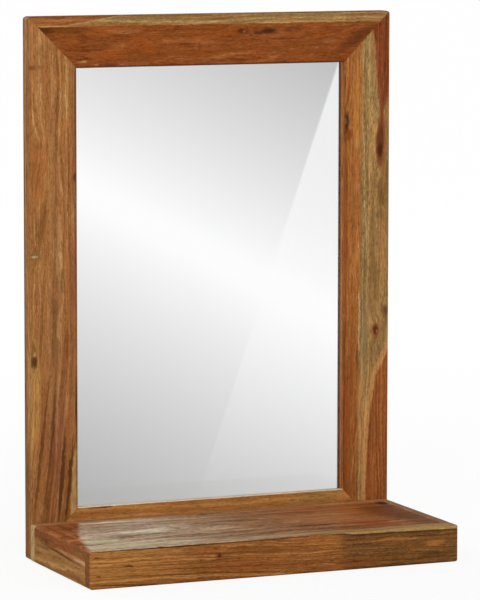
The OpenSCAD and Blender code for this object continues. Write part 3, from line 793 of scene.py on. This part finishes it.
SHELF_TOP = [
    strip("#b27a4c #905a34 #623818 #98562e", shift=53, **TOP_GROWTH),
    ("#b87a4a", 0.6, 1, 105, 12, 100, 78),
    ("#a05c2a", 0.75, 1, 182, 30, 50, 80),
    ("#643e1c", 0.75, 1, 222, -50, 30, 60),
    ("#a0582a", 0.7, 1, 150, -62, 46, 20, 3),
    ("#8c3e1c", 0.65, 1, 158, -66, 32, 15, -8),
    ("#964c2c", 0.5, 1, 80, 50, 80, 22),
    # Painted sheen: the two pale zones below and the whitish streaks over them stand in for the grazing
    # reflection of the white studio on the top, laid into the colour as pale wood. The red-brown corner
    # wedge at the end is left without it.
    strip("#cba784 #a07856 #6e4a2e #aa7048", [(80, -300), (20, 300)], 85, shift=53, **TOP_GROWTH),
    strip("#e8dac4 #c0a68a #80624a #bc9272", [(-10, -300), (-110, 300)], 75, shift=53, **TOP_GROWTH),
    ("#e0ccb0", 0.7, 0.9, -165, 70, 60, 6, -3),
    ("#8c6c54", 0.6, 0.9, -170, 22, 60, 4, 1),
    ("#8a7058", 0.5, 0.9, -105, 33, 60, 5, -3),
    ("#7a5636", 0.5, 0.9, -15, 22, 60, 4, 5),
    ("#a87e5c", 0.6, 1, 2, 0, 42, 11),
    ("#e8dec6", 0.9, 0.9, -134, -8, 46, 8.5),
    ("#6e5840", 0.7, 0.9, -90, -4, 7, 6),
    ("#7c603e", 0.75, 0.9, -140, -31, 70, 4.5, 5),
    ("#dccdb8", 0.65, 0.9, -142, 50, 44, 6, -2),
    ("#82664c", 0.65, 0.9, -150, 8, 60, 4, 2),
    ("#836850", 0.6, 0.9, -180, 40, 40, 3.5, -2),
    ("#8a6e52", 0.45, 0.9, -70, 14, 50, 4, 3),
    ("#c09670", 0.5, 1, -45, 46, 52, 14),
    ("#c0a07a", 0.6, 0.9, -62, -24, 42, 5, 2),
    ("#b48860", 0.65, 0.9, -90, -42, 80, 6),
    ("#c9c09c", 0.8, 0.9, -215, -58, 50, 18),
    ("#84643a", 0.8, 0.9, -55, -62, 112, 8.5, 3),
    ("#cdc19a", 0.85, 0.8, -190, -94, 135, 13),
    ("#86643f", 0.65, 1, -35, -82, 80, 14, 4),
    ("#5c4222", 0.6, 0.9, 120, -82, 60, 5, 3),
    ("#a88a5c", 0.6, 0.9, 165, -100, 90, 6, 2),
    ("#5e300c", 0.74, 1, 207, 10, 40, 70),
    ("#baa276", 0.75, 0.9, 10, -101, 150, 7),
    ("#4f3016", 0.8, 0.9, 76, -52, 40, 6),
    ("#5a3a1c", 0.65, 0.9, 40, -72, 60, 3.5, 3),
    ("#7c3c16", 0.75, 0.9, 13, -30, 9, 5),
    ("#b4805c", 0.6, 0.9, 30, 72, 50, 8),
    ("#341a0c", 0.95, 1, 228, 64, 12, 18),
    strip(CORNER, [(-249.5, -124), (-227.5, -18)], 3, jag=22, shift=61, **CORNER_GROWTH),
    strip(CORNER, [(-227.5, -18), (-191.5, 75)], 3, jag=22, shift=61, **CORNER_GROWTH),
    ("#c08a66", 0.6, 1, -240, 84, 40, 12),
    ("#682e14", 0.6, 0.9, -238.5, 25, 2.6, 72),
    ("#c47e54", 0.55, 0.9, -231.5, -15, 2.4, 60),
    ("#6c3418", 0.6, 0.9, -221, 45, 4, 42),
    ("#b4683c", 0.5, 0.9, -210, 62, 5, 22),
]


def reaching(layers, along, across):
    """The layers that a narrow part of a face needs: its zones, and the marks that reach into it."""
    kept = []
    for layer in layers:
        if isinstance(layer, tuple):
            middle_along, middle_across, half_length, half_width = layer[3:7]
            if not along[0] - half_length < middle_along < along[1] + half_length:
                continue
            if not across[0] - half_width < middle_across < across[1] + half_width:
                continue
        kept.append(layer)
    return kept


board(
    "shelf_front_board", "XZY",
    [
        strip(
            "#a97440 #8c5628 #683a15 #905424", shift=37, pith=-90, depth=-60, ring=3,
            lines=0.3, banding=0.42, grit=0.26,
        ),
        ("#ac783e", 0.55, 1, -225, 28, 140, 60),
        strip(
            "#855b31 #6c4624 #4e300f #77491e", [(84, 60), (94, -20)], 13, shift=37, pith=-90, depth=-60,
            ring=4, wander=24, lines=0.4, banding=0.4, grit=0.34,
        ),
        ("#8c4a26", 0.45, 1, -45, 17, 62, 11),
        ("#a5682c", 0.7, 0.9, 65, 40, 26, 5),
        ("#96602c", 0.55, 0.9, 160, 34, 40, 4),
        ("#a56c34", 0.75, 0.9, 218, 27, 18, 5),
        ("#84401c", 0.55, 0.9, 110, 8, 42, 3),
        ("#4a3014", 0.55, 0.9, 215, 12, 22, 5, -2),
        ("#55300f", 0.5, 0.7, -30, 33, 125, 1.2, -3),
        ("#55300f", 0.5, 0.7, -125, 24, 130, 1.2, -3),
        ("#55300f", 0.55, 0.7, -150, 12, 110, 1.3, -4),
        ("#4a2a0f", 0.8, 0.7, -200, 3, 60, 1.4, -3),
        ("#55300f", 0.6, 0.7, -60, 16, 145, 1.2, -5),
        ("#45250c", 0.7, 0.7, 165, 2, 90, 1.4, -1),
        ("#45250c", 0.9, 0.9, -198, 26.5, 8, 1.8, -1),
        ("#6a3c1a", 0.75, 1, -78, 31, 9, 5),
        ("#45200c", 0.85, 1, -78, 31, 3.5, 3.2),
        ("#55300f", 0.8, 0.8, -240, 39.5, 5, 1.4),
        ("#55300f", 0.8, 0.8, -238, 16, 4, 1.6),
        strip(SAPWOOD, [(66, 48.2), (106, 43.6), (252, 41.2)], 0.5, ("#2c1808", 2), shift=39),
    ],
    steady=[
        ("#2e1a0a", 0.95, 0.8, -150, 46.6, 115, 1.3, -0.3),
        ("#38200e", 0.85, 0.8, -10, 46.6, 84, 1, 0.4),
        # Painted shade along the bottom edge.
        ("#3a2414", 0.65, 0.8, 0, 0.2, 700, 1.4),
    ],
    faces={"+Z": (
        "XYZ",
        reaching(SHELF_TOP, (-250, 250), (-115, -94))
        + [strip(SAPWOOD, [(50, 300), (72, -300)], 24, shift=39)],
        0.38,
    )},
    wave=0.45,
    edge_shade_share=0.25,
    joints="+Y",
    sweep=(0, 0.03, 0),
    end_tone="#d0bc96",
)
board(
    "shelf_back_board", "XZY",
    [
        strip("#c89664 #ac7a4a #8c5c2e #b27244", shift=41, pith=-50, depth=0, ring=4, wander=22, grit=0.4),
        ("#c4a272", 0.95, 0.3, -253, 24, 6, 90),
    ],
    joints="-Y",
    end_tone="#f4f0e6",
)
board(
    "shelf_left_end", "YZX",
    [
        strip(
            "#bc9054 #a27240 #885a26 #a86e44", shift=43,
            pith=90, depth=-420, ring=4, wander=22, lines=0.2,
        ),
        ("#a88046", 0.6, 1, -30, 16, 44, 4, 2),
        ("#ad8048", 0.55, 1, 40, 8, 50, 4),
        ("#8a5a2c", 0.55, 0.9, 10, 21, 40, 2.4, -2),
        ("#6e4a24", 0.55, 0.9, 45, 27, 40, 2.4, -2),
        ("#9a5a34", 0.5, 0.9, -70, 8, 34, 3),
        strip(
            "#a26836 #8e5428 #763e1a #965830", [(-130, 26), (100, 33.6)], 0.8,
            shift=53, pith=90, depth=-420, wander=22, lines=0.2,
        ),
        ("#8a4418", 0.6, 1, -22, 40, 20, 4),
        ("#8c7a3c", 0.45, 1, -76, 38, 20, 5, -3),
        ("#6c3c1a", 0.6, 0.9, 20, 43.5, 60, 1.6, 1),
    ],
    steady=[
        ("#bc8a58", 0.9, 0.9, -99, 29.8, 125, 3.8, 3.6),
        ("#d0a474", 0.8, 1, -101, 29.6, 50, 3.4, 1.2),
        ("#55300f", 0.8, 0.9, -20, 28, 95, 1.9, 4.6),
        # Painted shade along the bottom edge.
        ("#3a2818", 0.75, 0.8, 0, 0.4, 700, 1.5),
    ],
    faces={"+Z": ("XYZ", reaching(SHELF_TOP, (-250, -229), (-115, 95)), 0.5)},
    wave=0.25,
    joints="+X +Y -Y",
    shine=0.03,
    gloss=0.62,
)
board(
    "shelf_right_end", "YZX",
    [strip(RIGHT_END, shift=47, pith=90, depth=300, ring=4, wander=22)],
    faces={
        "+Z": ("YXZ", [
            strip(RIGHT_END, shift=47, pith=60, depth=120, ring=4, wander=22),
            ("#3e2410", 0.8, 0.8, 0, 249.8, 400, 1.8),
        ], 0.5),
    },
    joints="-X +Y -Y",
)
board(
    "shelf_top_board", "XYZ", SHELF_TOP,
    joints="-X +X -Y +Y",
    gloss=0.66,
    shine=0.05,
)
board(
    "shelf_underside_board", "XYZ",
    [strip("#b38858 #9b6d44 #7c5028 #95602f", shift=59, depth=140, ring=6, wander=40)],
)


BEECH_GROWTH = {
    "depth": 80.0, "ring": 3.0, "wander": 10.0, "lines": 0.1, "pores": 0.3, "banding": 0.4, "grit": 0.12,
}
BEECH = {
    "frame_corner_dowels": "XZY",
    "shelf_front_batten": "XZY",
    "shelf_back_batten": "XZY",
    "shelf_left_batten": "YZX",
    "shelf_right_batten": "YZX",
    "shelf_corner_dowels": "YXZ",
    "shelf_locating_dowels": "YXZ",
}
for number, (node, axes) in enumerate(BEECH.items()):
    beech = strip("#e0c69e #d4b487 #c09c6c #d0a67c", shift=71.0 + number, **BEECH_GROWTH)
    board(node, axes, [beech], edge_shade_share=0.1, gloss=0.62, end_tone="#e6d8bc")


# ---- Backing, tape, hangers and screws ----
def make_speckle_group():
    """A clouded, flecked surface, for plating, pressed fibre and foam. Sizes are in mm."""
    inputs = {
        "Place": ORIGIN,
        "Light": paint("#c0c2c4"),
        "Dark": paint("#a2a5a8"),
        "Fleck": paint("#8a8c90"),
        "Cloud size": 6.0,
        "Fleck size": 0.8,
        "Fleck share": 0.4,
        "Smooth": 0.30,
        "Rough": 0.50,
    }
    bench, given, leave = new_group("speckle", inputs, {"Color": tuple, "Roughness": float, "Height": float})
    clouds = bench.join(*[given["Cloud size"]] * 3)
    flecks = bench.join(*[given["Fleck size"]] * 3)
    cloud = bench.noise(bench.vector("DIVIDE", given["Place"], clouds), 3.0, 0.6)
    fleck = bench.noise(bench.vector("DIVIDE", given["Place"], flecks), 2.0, 0.6)
    color = bench.mix(bench.step(cloud, 0.38, 0.62), given["Light"], given["Dark"])
    share = bench.times(bench.step(fleck, 0.52, 0.66), given["Fleck share"])
    bench.feed(leave["Color"], bench.mix(share, color, given["Fleck"]))
    both = bench.math("MULTIPLY_ADD", cloud, 0.5, bench.times(fleck, 0.5))
    bench.feed(leave["Roughness"], bench.step(both, 0.35, 0.65, given["Smooth"], given["Rough"], "LINEAR"))
    bench.feed(leave["Height"], fleck)
    return bench.tree


SPECKLE = make_speckle_group()
FLECK_BUMP = 0.0001


def fine_finish(name, nodes, speckle, **feeds):
    """A speckled finish, put on those nodes. feeds go to its shader."""
    material, bench = new_material(name)
    found = bench.group(SPECKLE, {**speckle, "Place": place_in_mm(bench)})
    bump = bench.node("ShaderNodeBump", {"Strength": 0.6, "Distance": FLECK_BUMP, "Height": found["Height"]})
    feeds.update({"Base Color": found["Color"], "Roughness": found["Roughness"], "Normal": bump.outputs[0]})
    finish_material(bench, material, feeds, [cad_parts[node] for node in nodes])


ZINC = {
    "Light": paint("#c4c7ca"), "Dark": paint("#a8abaf"), "Fleck": paint("#8e9196"), "Cloud size": 5.0,
}
YELLOW_ZINC = {
    "Light": paint("#cdb268"), "Dark": paint("#b8954c"), "Fleck": paint("#b07a5c"), "Cloud size": 7.0,
}
HARDBOARD = {
    "Light": paint("#7a593b"), "Dark": paint("#6e4e32"), "Fleck": paint("#4a301c"), "Cloud size": 9.0,
    "Fleck size": 1.4, "Fleck share": 0.5, "Smooth": 0.55, "Rough": 0.72,
}
FOAM = {
    "Light": paint("#ecebe6"), "Dark": paint("#e0dfd9"), "Fleck": paint("#c8c7c0"), "Cloud size": 4.0,
    "Fleck size": 0.5, "Fleck share": 0.6, "Smooth": 0.80, "Rough": 0.95,
}
SHELF_SCREWS = ["shelf_fixing_screws", "shelf_top_screws", "shelf_underside_screws"]
PLATES = ["left_hanger_plate", "right_hanger_plate"]
fine_finish("zinc_plated_steel", ["backing_screws", "hanger_screws", *SHELF_SCREWS], ZINC, Metallic=1.0)
fine_finish("yellow_zinc_steel", PLATES, YELLOW_ZINC, Metallic=1.0)
fine_finish("pressed_hardboard", ["backing_board"], HARDBOARD)
fine_finish("foam_tape", ["mirror_tape"], FOAM)


# ---- Pane and silvering ----
PANE_GAP = 0.05
PANE_ARRIS = 0.4
# Where the coat's painted shade begins at the sides and top, where the painted reflection of the lip begins
# further out at the sides, in mm, and how soft those borders are.
COAT_EDGE = 182.0
LIP_REFLECTION_START = 184.3
COAT_TOP = 623.8
COAT_BLUR = 0.3
LIP_REFLECTION_BLUR = 0.4
TINT_CLOUD = 150.0
GAP_SHADE_PAINT = "#1c0a02"
LIP_REFLECTION_PAINT = "#8c5834"
GLASS_IOR = 1.5


def faint_cloud(bench, low, high):
    """Goes softly between two near tones over 150 mm or so, as coated glass does."""
    cloud = bench.noise(bench.stretched(place_in_mm(bench), TINT_CLOUD, TINT_CLOUD), 2.0, 0.5)
    return bench.mix(bench.step(cloud, 0.3, 0.7), low, high)


def clear_pane():
    """The pane with its ground arrises. A hair of air keeps it off the coat, so light meets them in turn."""
    low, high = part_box("mirror_glass")
    high.y -= PANE_GAP * MM
    bm = bmesh.new()
    cube = bmesh.ops.create_cube(bm, size=1.0)["verts"]
    bmesh.ops.scale(bm, vec=high - low, verts=cube)
    bmesh.ops.translate(bm, vec=(low + high) / 2, verts=cube)
    bmesh.ops.bevel(
        bm, geom=bm.edges[:], offset=PANE_ARRIS * MM, segments=1, profile=0.5, affect="EDGES", material=-1
    )
    mesh = bpy.data.meshes.new("mirror_pane")
    bm.to_mesh(mesh)
    bm.free()
    pane = bpy.data.objects.new("mirror_pane", mesh)
    bpy.context.scene.collection.objects.link(pane)
    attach(pane, "root")
    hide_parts("mirror_glass")
    material, bench = new_material("clear_glass")
    mesh.materials.append(material)
    tint = faint_cloud(bench, (0.998, 0.999, 0.999, 1.0), (1.0, 1.0, 1.0, 1.0))
    feeds = {"Base Color": tint, "Transmission Weight": 1.0, "Roughness": 0.0, "IOR": GLASS_IOR}
    finish_material(bench, material, feeds, [pane])


def silver_coat():
    """The mirror's coat. Its sides and upper edge are painted dark, as painted shade in the gap behind the
    frame's lip, and further out at the sides brown, as a painted reflection of the lip.
    """
    material, bench = new_material("silver_coat")
    bright = faint_cloud(bench, (0.984, 0.984, 0.984, 1.0), (0.986, 0.986, 0.986, 1.0))
    place = bench.split(place_in_mm(bench))
    aside = bench.math("ABSOLUTE", place[0])
    above = bench.step(place[2], COAT_TOP - COAT_BLUR, COAT_TOP + COAT_BLUR)
    outside = bench.step(aside, COAT_EDGE - COAT_BLUR, COAT_EDGE + COAT_BLUR)
    border = bench.math("MAXIMUM", outside, above)
    lip_reflection_share = bench.step(aside, LIP_REFLECTION_START - LIP_REFLECTION_BLUR, LIP_REFLECTION_START + LIP_REFLECTION_BLUR)
    # Painted shade in the gap, turning to a painted reflection of the lip further out at the sides.
    painted_border_color = bench.mix(lip_reflection_share, paint(GAP_SHADE_PAINT), paint(LIP_REFLECTION_PAINT))
    feeds = {"Base Color": bench.mix(border, bright, painted_border_color), "Metallic": 1.0, "Roughness": 0.0}
    finish_material(bench, material, feeds, [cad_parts["mirror_silvering"]])


clear_pane()
silver_coat()


# ---- Studio: floor, soft light, and what the mirror sees ----
WHITE = (1.0, 1.0, 1.0, 1.0)
FLOOR_WIDTH = 60.0
FLOOR_DROP = 0.3
FLOOR_PAINT = (0.95, 0.95, 0.95, 1.0)
# Where the floor's fade to white starts and ends, in metres from the middle, and how white it is there
FADE_START = 0.5
FADE_END = 2.2
GLOW_NEAR = 0.87
GLOW_FAR = 0.99


def pale_floor():
    """A pale floor that fades to white further out and keeps the object's shadow."""
    bpy.ops.mesh.primitive_plane_add(size=FLOOR_WIDTH, location=(0.0, 0.0, -FLOOR_DROP * MM))
    floor = bpy.context.object
    floor.name = "studio_floor"
    floor.visible_glossy = False
    floor.visible_transmission = False
    material, bench = new_material("pale_floor")
    matt = bench.node("ShaderNodeBsdfDiffuse", {"Color": FLOOR_PAINT})
    glow = bench.node("ShaderNodeEmission", {"Color": WHITE, "Strength": 1.0})
    path = bench.node("ShaderNodeLightPath")
    reach = bench.vector("LENGTH", bench.node("ShaderNodeTexCoord").outputs["Object"])
    glare = bench.step(reach, FADE_START, FADE_END, GLOW_NEAR, GLOW_FAR)
    share = bench.times(path.outputs["Is Camera Ray"], glare)
    blend = bench.node("ShaderNodeMixShader", {0: share, 1: matt.outputs[0], 2: glow.outputs[0]})
    bench.node("ShaderNodeOutputMaterial", {"Surface": blend.outputs[0]})
    floor.data.materials.append(material)


# Where the reflected studio is read: azimuth and climb of the ray, turned into mm on the pane
SIGHT_AZIMUTH = 0.3947
SIGHT_HEIGHT = 904.0
AZIMUTH_GAIN = 5362.0
CLIMB_GAIN = 4950.0
BAND_HEIGHT = 380.0
BAND_LEAN = 0.47
BAND_CORE = 12.0
BAND_FALL = 0.195 / 255
BAND_PERIOD = 820.0
SHEEN_LEAN = 0.346
SHEEN_EDGE = 41.3
SHEEN_PERIOD = 1500.0
SHEEN_FOOT = 40.0
SHEEN_HEAD = 560.0
SHEEN_SHARE = 0.70
SHEEN_SHARP = 0.003
SHEEN_FADE = (0.3, 0.5)
SCREEN_GAMMA = 2.2
SOFT_LIGHT = 0.55


def studio_world():
    """White to the camera, plain soft light on the object, and grey bands with a sheen in reflections."""
    world = bpy.data.worlds.new("studio")
    bpy.context.scene.world = world
    world.use_nodes = True
    world.node_tree.nodes.clear()
    bench = Bench(world.node_tree)
    ray = bench.split(bench.node("ShaderNodeTexCoord").outputs["Generated"])
    azimuth = bench.math("ARCTAN2", ray[0], bench.times(ray[1], -1.0))
    level = bench.vector("LENGTH", bench.join(ray[0], ray[1], 0.0))
    climb = bench.math("DIVIDE", ray[2], level)
    x = bench.times(bench.minus(azimuth, SIGHT_AZIMUTH), AZIMUTH_GAIN)
    z = bench.math("MULTIPLY_ADD", climb, CLIMB_GAIN, SIGHT_HEIGHT)
    above = bench.math("MULTIPLY_ADD", x, BAND_LEAN, z)
    above = bench.minus(above, BAND_HEIGHT)
    apart = bench.math("PINGPONG", bench.math("ABSOLUTE", above), BAND_PERIOD / 2)
    shade = bench.minus(apart, BAND_CORE)
    shade = bench.math("MAXIMUM", shade, 0.0)
    shade = bench.times(shade, BAND_FALL)
    past_edge = bench.math("MULTIPLY_ADD", z, -SHEEN_LEAN, x)
    past_edge = bench.plus(past_edge, SHEEN_EDGE)
    turn = bench.math("FRACT", bench.math("DIVIDE", past_edge, SHEEN_PERIOD))
    fading = bench.step(turn, *SHEEN_FADE, 1.0, 0.0)
    sheen = bench.times(bench.step(turn, 0.0, SHEEN_SHARP), fading)
    sheen = bench.times(sheen, bench.step(z, SHEEN_FOOT, SHEEN_HEAD, 0.0, SHEEN_SHARE, "LINEAR"))
    shade = bench.times(shade, bench.minus(1.0, sheen))
    light = bench.minus(1.0, shade)
    light = bench.math("POWER", light, SCREEN_GAMMA)
    path = bench.node("ShaderNodeLightPath").outputs
    seen = bench.node("ShaderNodeBackground", {"Color": bench.join(light, light, light), "Strength": 1.0})
    white = bench.node("ShaderNodeBackground", {"Color": WHITE, "Strength": 1.0})
    soft = bench.node("ShaderNodeBackground", {"Color": WHITE, "Strength": SOFT_LIGHT})
    shiny = bench.math("MAXIMUM", path["Is Glossy Ray"], path["Is Transmission Ray"])
    first = bench.node("ShaderNodeMixShader", {0: shiny, 1: soft.outputs[0], 2: seen.outputs[0]})
    to_camera = path["Is Camera Ray"]
    last = bench.node("ShaderNodeMixShader", {0: to_camera, 1: first.outputs[0], 2: white.outputs[0]})
    bench.node("ShaderNodeOutputWorld", {"Surface": last.outputs[0]})


LAMP_TARGET = Vector((0.0, 0.0, 0.34))
# Each lamp: its place and width in metres, and its power in watts.
LAMPS = {
    "front_lamp": ((-1.5, -4.0, 2.6), 2.6, 90.0),
    "side_lamp": ((3.6, -2.0, 1.8), 2.4, 40.0),
    "back_lamp": ((-1.0, 4.0, 2.4), 2.6, 60.0),
}


def soft_lamp(name, place, size, power):
    """A square lamp that looks at the object's middle."""
    data = bpy.data.lights.new(name, "AREA")
    data.shape = "SQUARE"
    data.size = size
    data.energy = power
    lamp = bpy.data.objects.new(name, data)
    bpy.context.scene.collection.objects.link(lamp)
    lamp.location = place
    aim = LAMP_TARGET - lamp.location
    lamp.rotation_euler = aim.to_track_quat("-Z", "Y").to_euler()
    lamp.visible_camera = False
    lamp.visible_transmission = False


def keep_wood_out_of_mirror():
    """Rays that have passed the pane don't meet the boards, so the mirror shows the studio alone."""
    for name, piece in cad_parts.items():
        if name.startswith(("shelf_", "frame_")):
            piece.visible_transmission = False


keep_wood_out_of_mirror()
place_camera()
pale_floor()
studio_world()
for name, (place, size, power) in LAMPS.items():
    soft_lamp(name, place, size, power)
bpy.context.scene.view_settings.view_transform = "Standard"
